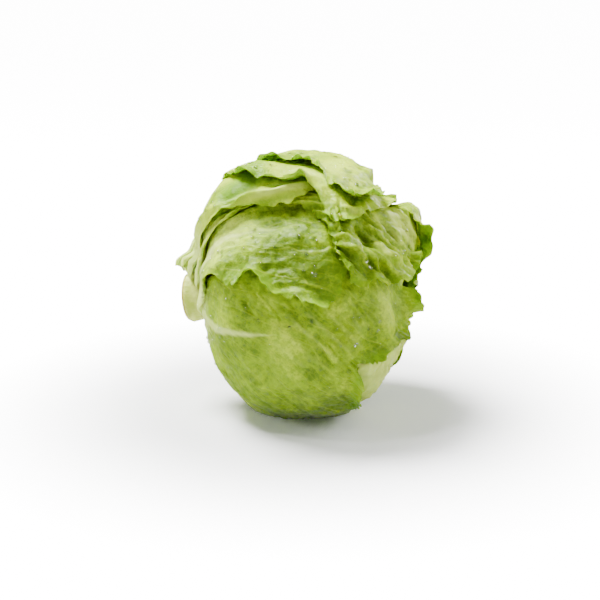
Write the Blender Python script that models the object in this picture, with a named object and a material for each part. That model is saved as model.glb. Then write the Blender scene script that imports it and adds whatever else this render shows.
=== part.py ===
"""A head of iceberg lettuce as picked, lying on its side with the cut stem to the left.

A cone-shaped stem runs into a dense heart, and ten loose outer leaves wrap the heart from the stem.
Every leaf is a thin closed blade laid on what is below it. The head is described from its centre:
a direction, and how far out each layer lies in that direction. A leaf's outline is a reach, in
degrees of arc from the leaf's own centre, for each bearing round it, with bearing 0 towards the
leaf's tip, 90 towards growing turn and 180 towards the stem.
"""

import math

import bpy
import numpy as np

# Driving dimensions: lengths in metres, angles in radians unless the name ends in DEG.
HEART_ALONG = 0.0605
HEART_UP = 0.0735
HEART_FRONT = 0.0690
HEART_SAG = 0.0050
HEART_SQUARENESS = 2.6
SHOULDER = (-0.60, 0.20, 0.77)
SHOULDER_HEIGHT = 0.0115
SHOULDER_WIDTH_DEG = 31
HOLLOW = (0.81, -0.15, -0.57)
HOLLOW_DEPTH = 0.0080
HOLLOW_WIDTH_DEG = 27
CENTRE_HEIGHT = 0.0830
STEM_DIRECTION = (-0.96, 0.25, -0.12)
STEM_HALF_ANGLE_DEG = 11.6
LEAF_FOOT_ANGLE_DEG = 13.0
STEM_INNER = 0.030
STEM_OUTER = 0.0885
STEM_SIDES = 28
STEM_BEVEL = 0.0022
STEM_BUTT_RAISE = 0.0006
STEM_BUTT_HOLLOW = 0.0012
STEM_BUTT_EDGE = 0.90
STEM_BUTT_FLAT = 0.55
POCKET_CLEARANCE = 0.0005

BLADE = 0.0013
RIB = 0.0013
RIB_HALF_WIDTH = 0.15
RIB_LENGTH = 1.7
LAYER_GAP = 0.0014
FOOT_SLACK = 0.0008
FOOT_SLACK_LENGTH = 0.35
FAN_BEFORE_FOOT = 0.25
FOLD_START = 0.15
FOLD_FULL = 0.8
RIDGE_FADE_OUTSIDE = 14
RIDGE_FADE_INSIDE = 6
HEART_LUMPS = 0.014
HEART_LUMP_SIZE = 0.9
HEART_STEP = 0.0016
HEART_MARGIN_STEP = 0.0003
HEART_MARGIN_SHARE = 0.7
HEART_MARGIN_EDGE = (-0.05, 0.02)
MEAN_RADIUS = 0.080
STEMWARD_COSINE = 0.6
SLOPE_STEP = 0.06
FAR_OUTSIDE = math.radians(35)
LAYER_FADE_DEG = (-13, -1.5)
CURL_FADE_DEG = (-14, -6)
CURL_BAND = 0.017
CURL_TURN = 1.75
CURL_EVEN = 0.55
CURL_RUFFLE = 0.45
LEAST_TURN = 0.001
MOST_TURN = 2.2
CURLED_ANGLE = 0.3
FRILL_HEIGHT = 0.0035
FRILL_LENGTH = 0.022
FINE_FRILL = 0.6
FLAT_BAND = 0.0006
FRILL_FLOOR_LOW = 0.006
FRILL_FLOOR_HIGH = 0.034

# Mesh density: cells across a leaf, rings and segments of the heart.
LEAF_CELLS = 16
HEART_RINGS = 20
HEART_SEGMENTS = 36
MARGIN_CROWDING = 1.35
EVEN_STEPS = 0.8

# Each leaf, from the innermost out. turn is the way round the stem (0 up, 90 to the front,
# 180 down), lean the angle from the stem, both for the leaf's centre and in degrees.
# outline holds (bearing, reach) in degrees; curl holds (bearing, share) of the margin's outward curl.
LEAVES = (
    {
        "name": "leaf_underside",
        "lean": 98, "turn": 168, "pleats": 5, "pleat_height": 0.0016,
        "outline": ((0, 58), (20, 56), (60, 46), (90, 42), (130, 44), (155, 56), (180, 110),
                    (205, 54), (230, 46), (265, 46), (290, 57), (312, 63), (340, 61)),
        "curl": ((0, 0.3), (60, 0.2), (180, 0), (270, 0), (330, 0.1)),
    },
    {
        "name": "leaf_back_low",
        "lean": 97, "turn": -128, "pleats": 6, "pleat_height": 0.0018,
        "outline": ((0, 46), (40, 48), (90, 43), (130, 41), (158, 60), (180, 110),
                    (202, 63), (225, 58), (255, 62), (285, 57), (320, 47)),
        "curl": ((0, 0.3), (60, 0.5), (120, 0.2), (180, 0), (240, 0.1), (300, 0.1)),
    },
    {
        "name": "leaf_front_low", "cells": 1.4,
        "lean": 105, "turn": 98, "pleats": 4, "pleat_height": 0.0014,
        "outline": ((0, 66), (8, 69), (16, 65), (22, 53), (30, 39), (37, 33), (42, 27), (47, 23),
                    (53, 28), (63, 36), (72, 47), (79, 70), (90, 92), (103, 100), (120, 97),
                    (138, 86), (158, 78), (180, 120), (210, 62), (240, 50), (270, 44), (300, 46),
                    (330, 58), (350, 63)),
        "curl": ((0, 1.1), (12, 1), (24, 0.3), (40, 0.15), (60, 0.4), (75, 0.5), (110, 0),
                 (180, 0), (300, 0.2)),
    },
    {
        "name": "leaf_front_high",
        "lean": 80, "turn": 44, "pleats": 3, "pleat_height": 0.0022,
        "outline": ((0, 40), (18, 44), (30, 47), (40, 50), (49, 51), (55, 48), (61, 43), (68, 39),
                    (77, 35), (88, 29), (105, 27), (130, 30), (157, 42), (180, 120), (208, 50),
                    (228, 41), (250, 36), (276, 34), (300, 35), (330, 36)),
        "curl": ((0, 0.1), (30, 0.4), (50, 0.6), (75, 0.8), (100, 0.9), (130, 0.3), (180, 0),
                 (250, 0)),
    },
    {
        "name": "leaf_end_wrap",
        "lean": 112, "turn": 15, "pleats": 7, "pleat_height": 0.0022, "slack": 0.0009,
        "outline": ((0, 58), (20, 57), (38, 55), (51, 53), (58, 54), (64, 52), (68, 48), (73, 45),
                    (76, 37), (80, 30), (90, 24), (105, 21), (125, 20), (143, 25), (157, 39),
                    (180, 130), (205, 46), (232, 44), (261, 43), (288, 47), (311, 53), (329, 58),
                    (341, 60)),
        "curl": ((0, 0.9), (40, 0.5), (60, 0.4), (80, 0.4), (100, 0.1), (180, 0), (270, 0.3),
                 (330, 0.9)),
        "ridge": {"height": 0.0050, "inset": 12.5, "width": 4.0, "from": 25, "to": 78},
    },
    {
        "name": "leaf_back_high",
        "lean": 95, "turn": -68, "pleats": 6, "pleat_height": 0.0020,
        "outline": ((0, 68), (20, 66), (40, 58), (70, 48), (95, 43), (130, 42), (158, 60), (180, 110),
                    (202, 60), (232, 44), (270, 44), (320, 54)),
        "curl": ((0, 1.5), (50, 0.9), (120, 0.3), (180, 0), (240, 0.3), (300, 0.8)),
    },
    {
        "name": "leaf_back_mid",
        "lean": 82, "turn": -102, "pleats": 4, "pleat_height": 0.0020,
        "outline": ((0, 47), (45, 42), (90, 33), (130, 34), (157, 50), (180, 110),
                    (203, 50), (230, 35), (270, 34), (315, 41)),
        "curl": ((0, 0.9), (60, 0.7), (120, 0.3), (180, 0), (240, 0.3), (300, 0.8)),
    },
    {
        "name": "leaf_crown_low",
        "lean": 78, "turn": 0, "pleats": 3, "pleat_height": 0.0010,
        "outline": ((0, 31), (20, 31), (40, 34), (55, 33), (73, 32), (90, 30), (107, 28),
                    (118, 30), (130, 33), (142, 38), (155, 46), (169, 62), (180, 110), (195, 56),
                    (215, 38), (240, 33), (290, 32), (330, 31)),
        "curl": ((0, 0), (90, 0), (180, 0), (270, 0)),
        "ridge": {"height": 0.0045, "inset": 4.5, "width": 3.0, "from": 45, "to": 165},
    },
    {
        "name": "leaf_crown_mid",
        "lean": 95, "turn": -20, "pleats": 4, "pleat_height": 0.0018, "slack": 0.0011,
        "outline": ((0, 46), (20, 48), (35, 51), (45, 54), (52, 60), (58, 63), (64, 65), (68, 60),
                    (73, 49), (79, 43), (87, 43), (95, 45), (102, 44), (113, 40), (126, 37),
                    (142, 36), (156, 40), (167, 50), (180, 120), (198, 42), (220, 33), (255, 31),
                    (290, 34), (330, 41)),
        "curl": ((0, 0.5), (45, 0.7), (70, 0.5), (100, 0.1), (180, 0), (300, 0.3)),
    },
    {
        "name": "leaf_crown_top",
        "lean": 100, "turn": -30, "pleats": 4, "pleat_height": 0.0018, "slack": 0.0010,
        "outline": ((0, 25), (20, 27), (33, 35), (41, 48), (48, 55), (54, 54), (60, 58), (66, 57),
                    (72, 53), (80, 44), (88, 34), (95, 30), (107, 28), (122, 29), (137, 33),
                    (155, 40), (167, 50), (180, 110), (200, 46), (228, 37), (265, 36), (310, 34),
                    (340, 29)),
        "curl": ((0, 0.2), (45, 0.4), (75, 0.3), (120, 0), (180, 0), (240, 0.4), (310, 0.3)),
    },
)

LEAF_COLOUR = (0.42, 0.60, 0.16)
HEART_COLOUR = (0.62, 0.74, 0.30)
STEM_COLOUR = (0.80, 0.83, 0.62)


def unit(vector):
    vector = np.asarray(vector, float)
    return vector / np.linalg.norm(vector)


STEM = unit(STEM_DIRECTION)
UP = unit(np.array((0.0, 0.0, 1.0)) - STEM[2] * STEM)
FRONT = np.cross(STEM, UP) * (-1 if np.cross(STEM, UP)[1] > 0 else 1)
DOWN = np.array((0.0, 0.0, -1.0))


def smoothstep(low, high, value):
    share = np.clip((value - low) / (high - low), 0, 1)
    return share * share * (3 - 2 * share)


def waves(points, size, seed, count=14):
    """A smooth random field, about -1 to 1, whose lumps are about size across."""
    random = np.random.default_rng(seed)
    points = np.asarray(points, float)
    ways = random.normal(size=(count, points.shape[-1]))
    ways /= np.linalg.norm(ways, axis=1, keepdims=True)
    pace = math.pi / size * random.uniform(0.7, 1.4, count)
    phase = random.uniform(0, 2 * math.pi, count)
    return np.sin(points @ (ways * pace[:, None]).T + phase).sum(-1) / math.sqrt(count)


def through_knots(knots, bearing):
    """A smooth closed curve through (degrees, value) knots, read at bearings in radians."""
    at = np.array([k[0] for k in knots], float)
    value = np.array([k[1] for k in knots], float)
    at = np.concatenate([at[-2:] - 360, at, at[:2] + 360])
    value = np.concatenate([value[-2:], value, value[:2]])
    slope = np.zeros_like(value)
    slope[1:-1] = (value[2:] - value[:-2]) / (at[2:] - at[:-2])
    angle = np.degrees(bearing) % 360
    i = np.clip(np.searchsorted(at, angle) - 1, 0, len(at) - 2)
    step = at[i + 1] - at[i]
    t = (angle - at[i]) / step
    return (
        (2 * t**3 - 3 * t**2 + 1) * value[i]
        + (t**3 - 2 * t**2 + t) * step * slope[i]
        + (3 * t**2 - 2 * t**3) * value[i + 1]
        + (t**3 - t**2) * step * slope[i + 1]
    )


def leaf_axes(leaf):
    """The leaf's centre, and the ways to its tip and to growing turn, as unit vectors."""
    lean, turn = math.radians(leaf["lean"]), math.radians(leaf["turn"])
    out = math.cos(turn) * UP + math.sin(turn) * FRONT
    centre = math.cos(lean) * STEM + math.sin(lean) * out
    tipward = math.cos(lean) * out - math.sin(lean) * STEM
    sideways = math.cos(turn) * FRONT - math.sin(turn) * UP
    return centre, tipward, sideways


def reach_and_bearing(leaf, directions):
    centre, tipward, sideways = leaf_axes(leaf)
    x, y = directions @ tipward, directions @ sideways
    return np.arctan2(np.hypot(x, y), directions @ centre), np.arctan2(y, x)


def direction_at(leaf, reach, bearing):
    centre, tipward, sideways = leaf_axes(leaf)
    aside = np.cos(bearing)[..., None] * tipward + np.sin(bearing)[..., None] * sideways
    return np.cos(reach)[..., None] * centre + np.sin(reach)[..., None] * aside


def outline(leaf, bearing):
    """The leaf's reach in radians at each bearing, ended where the leaf's foot meets the stem."""
    reach = np.radians(through_knots(leaf["outline"], bearing))
    lean = math.radians(leaf["lean"])
    across, along = math.cos(lean), -np.cos(bearing) * math.sin(lean)
    level = math.cos(math.radians(LEAF_FOOT_ANGLE_DEG))
    to_stem = np.arctan2(along, across)
    to_stem = to_stem - np.arccos(np.clip(level / np.hypot(across, along), -1, 1))
    stemward = -np.cos(bearing) > STEMWARD_COSINE
    return np.where(stemward, np.minimum(reach, to_stem), reach)


def from_foot(leaf, reach, bearing):
    """Flat leaf coordinates in radians: along the midrib from the foot, and across it."""
    foot = math.radians(leaf["lean"] - LEAF_FOOT_ANGLE_DEG)
    return foot + reach * np.cos(bearing), reach * np.sin(bearing)


def thickness(leaf, reach, bearing):
    along, across = from_foot(leaf, reach, bearing)
    rib = np.exp(-((across / RIB_HALF_WIDTH) ** 2)) * np.clip(1 - along / RIB_LENGTH, 0, 1) ** 1.5
    return BLADE + RIB * rib


def inset(leaf, reach, bearing):
    """How far inside the outline, in radians; less than zero outside it."""
    slope = outline(leaf, bearing + SLOPE_STEP) - outline(leaf, bearing - SLOPE_STEP)
    slope = slope / (2 * SLOPE_STEP)
    inside = outline(leaf, bearing) - reach
    aslant = inside / np.hypot(1, slope / np.clip(np.sin(reach), 0.3, 1))
    return np.minimum(aslant, inside + FAR_OUTSIDE)


def folds(leaf, reach, bearing):
    """How far the blade stands off what it lies on: broad folds that fan out from its foot, a
    little slack at the foot, and for some leaves a rolled ridge that follows the margin."""
    along, across = from_foot(leaf, reach, bearing)
    fan = np.arctan2(across, along + FAN_BEFORE_FOOT)
    fold = 0.5 + 0.5 * np.cos(2 * leaf["pleats"] * fan + leaf["lean"])
    height = leaf["pleat_height"] * fold * smoothstep(FOLD_START, FOLD_FULL, along)
    height = height + FOOT_SLACK * np.exp(-((along / FOOT_SLACK_LENGTH) ** 2))
    height = height + leaf.get("slack", 0)
    if "ridge" in leaf:
        ridge = leaf["ridge"]
        off = np.degrees(outline(leaf, bearing) - reach) - ridge["inset"]
        angle = np.degrees(bearing) % 360
        begin, end = ridge["from"], ridge["to"]
        ends = smoothstep(begin - RIDGE_FADE_OUTSIDE, begin + RIDGE_FADE_INSIDE, angle)
        ends = ends * (1 - smoothstep(end - RIDGE_FADE_INSIDE, end + RIDGE_FADE_OUTSIDE, angle))
        height = height + ridge["height"] * np.exp(-((off / ridge["width"]) ** 2)) * ends
    return height


def swell(directions, middle, width):
    """1 at the middle direction, falling to 0 over about twice the width in degrees."""
    off = np.degrees(np.arccos(np.clip(directions @ unit(middle), -1, 1)))
    return np.exp(-((off / width) ** 2))


def heart_radius(directions):
    along = np.abs(directions @ STEM) / HEART_ALONG
    across = np.hypot(directions @ UP / HEART_UP, directions @ FRONT / HEART_FRONT)
    radius = (along**HEART_SQUARENESS + across**HEART_SQUARENESS) ** (-1 / HEART_SQUARENESS)
    radius = radius + HEART_SAG * (directions @ DOWN)
    radius = radius + SHOULDER_HEIGHT * swell(directions, SHOULDER, SHOULDER_WIDTH_DEG)
    radius = radius - HOLLOW_DEPTH * swell(directions, HOLLOW, HOLLOW_WIDTH_DEG)
    return radius * (1 + HEART_LUMPS * waves(directions, HEART_LUMP_SIZE, 3))


def cover(leaf, directions, fade):
    """1 inside the leaf's outline, falling to 0 outside it, between two insets in degrees."""
    return smoothstep(math.radians(fade[0]), math.radians(fade[1]),
                      inset(leaf, *reach_and_bearing(leaf, directions)))


def stack(directions, count):
    """How far out the heart reaches with the first count leaves laid on it."""
    radius = heart_radius(directions) + HEART_STEP
    for leaf in LEAVES[:count]:
        reach, bearing = reach_and_bearing(leaf, directions)
        layer = LAYER_GAP + thickness(leaf, reach, bearing) + folds(leaf, reach, bearing)
        radius = radius + layer * cover(leaf, directions, LAYER_FADE_DEG)
    return radius


def flattening(directions):
    """Shrinks every layer alike where the head lies on its flat spot."""
    below = np.clip(directions @ DOWN, 1e-6, 1)
    return np.minimum(1, CENTRE_HEIGHT / below / stack(directions, len(LEAVES)))


def disc_grid(cells):
    """A square grid drawn onto a disc: radius from 0 to 1 and angle of each point."""
    line = np.linspace(-1, 1, cells + 1)
    x, y = np.meshgrid(line, line, indexing="ij")
    wide = np.abs(x) > np.abs(y)
    with np.errstate(divide="ignore", invalid="ignore"):
        turned = np.where(wide, y / x, x / y) * math.pi / 4
    turned = np.nan_to_num(turned)
    radius = np.where(wide, x, y)
    angle = np.where(wide, turned, math.pi / 2 - turned)
    angle = np.where(radius < 0, angle + math.pi, angle) % (2 * math.pi)
    return 1 - (1 - np.abs(radius)) ** MARGIN_CROWDING, angle


def even_bearing(leaf, angle):
    """Spreads the spokes of the grid so that they meet the margin at nearly even steps."""
    bearing = np.linspace(0, 2 * math.pi, 721)
    edge = outline(leaf, bearing)
    step = np.hypot(np.gradient(edge, bearing), np.sin(edge))
    length = np.concatenate([[0], np.cumsum((step[1:] + step[:-1]) / 2)])
    share = EVEN_STEPS * length / length[-1] + (1 - EVEN_STEPS) * bearing / (2 * math.pi)
    return np.interp(angle / (2 * math.pi), share, bearing)


def margin_curl(leaf, rank, bearing, reach):
    """How much the margin turns outwards: by the leaf, less under other leaves and near the floor."""
    directions = direction_at(leaf, reach, bearing)
    share = np.clip(through_knots(leaf["curl"], bearing), 0, None)
    for above in LEAVES[rank + 1:]:
        share = share * (1 - cover(above, directions, CURL_FADE_DEG))
    height = CENTRE_HEIGHT + (directions @ -DOWN) * stack(directions, rank + 1)
    return share * smoothstep(FRILL_FLOOR_LOW, FRILL_FLOOR_HIGH, height)


def leaf_surface(leaf, rank, cells):
    """The middle of the leaf's blade as a grid of points, and the way from it to the outer face."""
    share, angle = disc_grid(cells)
    bearing = even_bearing(leaf, angle)
    edge = outline(leaf, bearing)
    inward = (1 - share) * edge * MEAN_RADIUS
    curl = margin_curl(leaf, rank, bearing, edge)
    along_edge = np.stack([np.cos(bearing), np.sin(bearing)], -1) * edge[..., None] * MEAN_RADIUS
    ruffle = waves(along_edge, FRILL_LENGTH, 11 + rank)
    turn = CURL_TURN * curl * (CURL_EVEN + CURL_RUFFLE * ruffle)
    turn = np.clip(turn, LEAST_TURN, MOST_TURN)
    bend = turn / CURL_BAND
    into_band = np.clip(CURL_BAND - inward, 0, None)
    advance = np.sin(bend * into_band) / bend - into_band
    rise = (1 - np.cos(bend * into_band)) / bend
    fine = waves(along_edge, FRILL_LENGTH * FINE_FRILL, 31 + rank)
    frill = FRILL_HEIGHT * curl * (0.5 + 0.5 * fine)
    rise = rise + frill * (into_band / CURL_BAND) ** 2
    reach = share * edge + advance / MEAN_RADIUS
    directions = direction_at(leaf, reach, bearing)
    flat = flattening(directions)
    thick = thickness(leaf, reach, bearing)
    radius = stack(directions, rank) + LAYER_GAP + folds(leaf, reach, bearing) + thick / 2
    middle = directions * (radius * flat + rise)[..., None]
    normal = np.cross(np.gradient(middle, axis=0), np.gradient(middle, axis=1))
    normal /= np.linalg.norm(normal, axis=-1, keepdims=True)
    if (normal * directions).sum() < 0:
        normal = -normal
    curled = smoothstep(0, CURLED_ANGLE, bend * into_band)[..., None]
    way = curled * normal + (1 - curled) * directions
    way /= np.linalg.norm(way, axis=-1, keepdims=True)
    return middle, way * (thick * flat / 2)[..., None]


def blade_mesh(name, middle, half):
    """A closed blade round a grid of points, split into triangles alike on both faces."""
    cells = middle.shape[0] - 1
    outer = (middle + half).reshape(-1, 3)
    inner = (middle - half).reshape(-1, 3)
    index = np.arange((cells + 1) ** 2).reshape(cells + 1, cells + 1)
    faces = []
    for i in range(cells):
        for j in range(cells):
            a, b, c, d = index[i, j], index[i + 1, j], index[i + 1, j + 1], index[i, j + 1]
            if (i < cells // 2) == (j < cells // 2):
                faces += [(a, b, c), (a, c, d)]
            else:
                faces += [(a, b, d), (b, c, d)]
    loop = [*index[:-1, 0], *index[-1, :-1], *index[:0:-1, -1], *index[0, :0:-1]]
    back = len(outer)
    under = [(c + back, b + back, a + back) for a, b, c in faces]
    rim = []
    for a, b in zip(loop, loop[1:] + loop[:1]):
        rim += [(b, a, a + back), (b, a + back, b + back)]
    points = np.concatenate([outer, inner])
    corners = points[np.array(faces)]
    facing = np.cross(corners[:, 1] - corners[:, 0], corners[:, 2] - corners[:, 0])
    if (facing * corners.mean(1)).sum() < 0:
        faces, under, rim = ([f[::-1] for f in part] for part in (faces, under, rim))
    return mesh_of(name, points, faces + under + rim)


def mesh_of(name, points, faces):
    """A mesh with its lowest points pressed flat onto the surface it rests on."""
    points = points + np.array((0.0, 0.0, CENTRE_HEIGHT))
    points[points[:, 2] < FLAT_BAND, 2] = 0.0
    mesh = bpy.data.meshes.new(name)
    mesh.from_pydata([tuple(p) for p in points], [], [tuple(int(v) for v in f) for f in faces])
    mesh.shade_smooth()
    return mesh


def material(name, colour, roughness):
    made = bpy.data.materials.new(name)
    made.use_nodes = True
    shader = made.node_tree.nodes["Principled BSDF"]
    shader.inputs["Base Color"].default_value = (*colour, 1)
    shader.inputs["Roughness"].default_value = roughness
    shader.inputs["Metallic"].default_value = 0
    return made


def add_object(mesh, finish):
    mesh.materials.append(finish)
    made = bpy.data.objects.new(mesh.name, mesh)
    bpy.context.scene.collection.objects.link(made)
    return made


def ring(angle, distance, segments):
    """Points round the stem's axis, at an angle from it and a distance from the head's centre."""
    turn = np.arange(segments) * 2 * math.pi / segments
    around = np.cos(turn)[:, None] * UP + np.sin(turn)[:, None] * FRONT
    directions = math.cos(angle) * STEM + math.sin(angle) * around
    distance = distance(directions)[:, None] if callable(distance) else distance
    return directions * distance


def turned_mesh(name, rings, first, last):
    """A closed mesh from rings of points, with a point at either end. It runs from the tip."""
    count = len(rings[0])
    points = np.concatenate([[first], *rings, [last]])
    faces = [(0, 1 + k, 1 + (k + 1) % count) for k in range(count)]
    for r in range(len(rings) - 1):
        for k in range(count):
            a, b = 1 + r * count + k, 1 + r * count + (k + 1) % count
            faces.append((a, a + count, b + count, b))
    start = 1 + (len(rings) - 1) * count
    faces += [(start + (k + 1) % count, start + k, len(points) - 1) for k in range(count)]
    sample = points[list(faces[0])]
    facing = np.cross(sample[1] - sample[0], sample[2] - sample[0]) @ (sample.mean(0) - points.mean(0))
    if facing < 0:
        faces = [f[::-1] for f in faces]
    return mesh_of(name, points, faces)


def heart_surface(directions):
    """The heart with the raised margins of its own tight leaves, clear of the outer leaves."""
    radius = heart_radius(directions)
    for leaf in LEAVES[::3]:
        reach, bearing = reach_and_bearing(leaf, directions)
        inside = HEART_MARGIN_SHARE * outline(leaf, bearing) - reach
        radius = radius + HEART_MARGIN_STEP * smoothstep(*HEART_MARGIN_EDGE, inside)
    return radius * flattening(directions)


def make_heart():
    pocket = math.radians(STEM_HALF_ANGLE_DEG) + POCKET_CLEARANCE / STEM_INNER
    angles = np.linspace(math.pi, pocket, HEART_RINGS + 1)[1:]
    rings = [ring(a, heart_surface, HEART_SEGMENTS) for a in angles]
    floor = STEM_INNER - POCKET_CLEARANCE
    rings.append(ring(pocket, floor, HEART_SEGMENTS))
    tip = -STEM * heart_surface(-STEM[None])[0]
    return turned_mesh("heart", rings, tip, STEM * floor * math.cos(pocket))


def make_stem():
    """The cut stem: a cone that runs into the heart, with a bevelled butt that is a little hollow."""
    side = math.radians(STEM_HALF_ANGLE_DEG)
    edge, flat = side * STEM_BUTT_EDGE, side * STEM_BUTT_FLAT
    butt = STEM_OUTER * math.cos(side)
    profile = (
        (STEM_INNER, side),
        (0.5 * (STEM_INNER + STEM_OUTER), side),
        (STEM_OUTER - STEM_BEVEL, side),
        (butt / math.cos(edge) + STEM_BUTT_RAISE, edge),
        (butt / math.cos(flat), flat),
    )
    rings = [ring(angle, distance, STEM_SIDES) for distance, angle in profile]
    inner_end = STEM * STEM_INNER * math.cos(side)
    return turned_mesh("stem", rings, inner_end, STEM * (butt - STEM_BUTT_HOLLOW))


def settle(objects):
    """Moves the head so that the origin is under the middle of its bounding box."""
    corners = np.array([v.co for o in objects for v in o.data.vertices])
    middle = (corners.min(0) + corners.max(0)) / 2
    for made in objects:
        made.location = (-middle[0], -middle[1], 0)


def main():
    for old in list(bpy.data.objects):
        bpy.data.objects.remove(old)
    leaf_finish = material("outer_leaf", LEAF_COLOUR, 0.45)
    objects = [
        add_object(make_heart(), material("heart_leaf", HEART_COLOUR, 0.5)),
        add_object(make_stem(), material("cut_stem", STEM_COLOUR, 0.55)),
    ]
    for rank, leaf in enumerate(LEAVES):
        cells = 2 * round(LEAF_CELLS * leaf.get("cells", 1) / 2)
        middle, half = leaf_surface(leaf, rank, cells)
        objects.append(add_object(blade_mesh(leaf["name"], middle, half), leaf_finish))
    settle(objects)


main()
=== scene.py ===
"""The looks of a head of iceberg lettuce that lies on its side: fine leaves, drops and studio light.

The head is described as in its solids, from its centre: a direction, and how far out each layer
lies there. A leaf's outline is a reach, in degrees of arc from the leaf's own centre, for each
bearing round it, with bearing 0 towards the leaf's tip and 180 towards the stem.
"""

import math
from types import SimpleNamespace

import bpy
import numpy as np
from mathutils import Matrix, Vector

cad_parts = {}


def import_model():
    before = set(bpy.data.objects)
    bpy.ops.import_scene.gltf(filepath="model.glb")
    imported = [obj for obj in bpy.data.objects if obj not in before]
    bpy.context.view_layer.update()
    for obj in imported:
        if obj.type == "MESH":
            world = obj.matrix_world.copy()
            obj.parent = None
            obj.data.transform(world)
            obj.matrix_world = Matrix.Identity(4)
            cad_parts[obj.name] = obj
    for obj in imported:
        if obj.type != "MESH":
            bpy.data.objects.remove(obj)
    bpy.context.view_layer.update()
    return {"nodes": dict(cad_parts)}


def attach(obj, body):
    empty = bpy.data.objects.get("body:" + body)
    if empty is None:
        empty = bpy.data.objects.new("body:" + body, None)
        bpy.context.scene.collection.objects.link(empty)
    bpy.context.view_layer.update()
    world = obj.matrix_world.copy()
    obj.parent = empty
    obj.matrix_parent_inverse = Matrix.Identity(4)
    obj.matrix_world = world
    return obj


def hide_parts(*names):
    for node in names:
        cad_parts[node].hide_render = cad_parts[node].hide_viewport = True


# Form of the head, as in its solids: lengths in metres, angles in radians unless named DEG.
HEAD_CENTRE = (0.004838, 0.000174, 0.0830)
HEART_ALONG = 0.0605
HEART_UP = 0.0735
HEART_FRONT = 0.0690
HEART_SAG = 0.0050
HEART_SQUARENESS = 2.6
SHOULDER = (-0.60, 0.20, 0.77)
SHOULDER_HEIGHT = 0.0115
SHOULDER_WIDTH_DEG = 31
HOLLOW = (0.81, -0.15, -0.57)
HOLLOW_DEPTH = 0.0080
HOLLOW_WIDTH_DEG = 27
STEM_DIRECTION = (-0.96, 0.25, -0.12)
STEM_HALF_ANGLE_DEG = 11.6
LEAF_FOOT_ANGLE_DEG = 13.0
STEM_INNER = 0.030
BLADE = 0.0013
RIB = 0.0013
RIB_HALF_WIDTH = 0.15
RIB_LENGTH = 1.7
LAYER_GAP = 0.0014
FOOT_SLACK = 0.0008
FOOT_SLACK_LENGTH = 0.35
FAN_BEFORE_FOOT = 0.25
FOLD_START = 0.15
FOLD_FULL = 0.8
RIDGE_FADE_OUTSIDE = 14
RIDGE_FADE_INSIDE = 6
HEART_LUMPS = 0.014
HEART_LUMP_SIZE = 0.9
HEART_STEP = 0.0016
MEAN_RADIUS = 0.080
STEMWARD_COSINE = 0.6
SLOPE_STEP = 0.06
FAR_OUTSIDE = math.radians(35)
LAYER_FADE_DEG = (-13, -1.5)
CURL_FADE_DEG = (-14, -6)
CURL_BAND = 0.017
CURL_TURN = 1.75
CURL_EVEN = 0.55
CURL_RUFFLE = 0.45
LEAST_TURN = 0.001
MOST_TURN = 2.6
CURLED_ANGLE = 0.3
FRILL_HEIGHT = 0.0035
FRILL_LENGTH = 0.022
FINE_FRILL = 0.6
FLAT_BAND = 0.0006
FRILL_FLOOR_LOW = 0.006
FRILL_FLOOR_HIGH = 0.034

# Fine form that the solids leave out, in metres.
LEAF_CELLS = 124
MARGIN_CROWDING = 1.35
EVEN_STEPS = 0.8
FINE_BLADE = 0.0009
TOOTH = 0.0011
TOOTH_LENGTH = 0.0042
NOTCH = 0.0022
NOTCH_LENGTH = 0.0075
TOOTH_DEPTH = 0.006
UNEVEN_LENGTH = 0.024
UNEVEN_MIDDLE = 0.45
UNEVEN_SWING = 0.6
UNEVEN_LIMITS = (0.1, 1.3)
FRILL_ENDS_DEG = (120, 160)
RUFFLE_TURN = 0.35
RUFFLE_HEIGHT = 0.0036
RUFFLE_LENGTH = 0.013
RUFFLE_BAND = 0.012
CRIMP_HEIGHT = 0.0017
CRIMP_LENGTH = 0.0055
CRIMP_BAND = 0.0065
LIFT_LEAST = -0.0004
PUCKER_HEIGHT = 0.0010
PUCKER_SIZE = 0.015
BLISTER_HEIGHT = 0.00060
BLISTER_SIZE = 0.0065
CREASE_SIZE = 0.33
CREASE_STRETCH = 5
WRINKLE_FADE = (0.3, 0.9)
RESTING_FADE = (0.001, 0.012)
BARE_FADE_DEG = (-7, 2)
COVERED_RELIEF = 0.35
# How far the relief must sink to be fully shaded: the sink is painted as shade in the leaves'
# colour.
HOLLOW_SHADE_SCALE = 0.001
EDGE_THINNESS = 0.55
EDGE_BAND = 0.008
LIME_BAND = 0.0045
MIDRIB_HEIGHT = 0.0016
FOOT_FLESH = 0.0022
FLESH_FADE = (0.15, 0.8)
FLESH_BAND = 0.006
RIB_CREST = 0.0011
RIB_CREST_WIDTH = 0.055
RIB_CREST_LENGTH = 1.3
HEART_RINGS = 90
HEART_SEGMENTS = 160
HEART_SHRINK = 0.0008
HEART_CRINKLE = 0.0012
HEART_CRINKLE_SIZE = 0.011
HEART_FOLD = 0.0016
HEART_FOLDS = 9
HEART_LEAF = dict(name="heart", lean=96, turn=-150, green=0.34, white=0.7)
POCKET_SLACK = 0.02
POCKET_CLEARANCE = 0.0005

# Water drops: how many, their radii in metres, how flat they are, their facets and where they sit.
DROPS = 1500
DROP_LEAST = 0.0005
DROP_MOST = 0.0018
DROP_FLATNESS = 0.7
DROP_RINGS = 3
DROP_SIDES = 8
DROP_CLEAR = 0.004
DROP_LOWEST = 0.028
DROP_FADE_DEG = (-9, -2)
DROP_BARE = 0.98
DROP_FACING = 0.6
DROP_SMALLNESS = 2.5
DROP_SKIRT = -0.25
DROP_CREST = 0.96

# Camera: how far one pixel of the 600-pixel frame reaches at the head's centre, and where it sits.
PIXEL = 0.000671
FRAME_PIXELS = 600
CENTRE_PIXEL = (312, 290)
CAMERA_ELEVATION_DEG = 15
LENS_MM = 100
SENSOR_MM = 36

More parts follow.
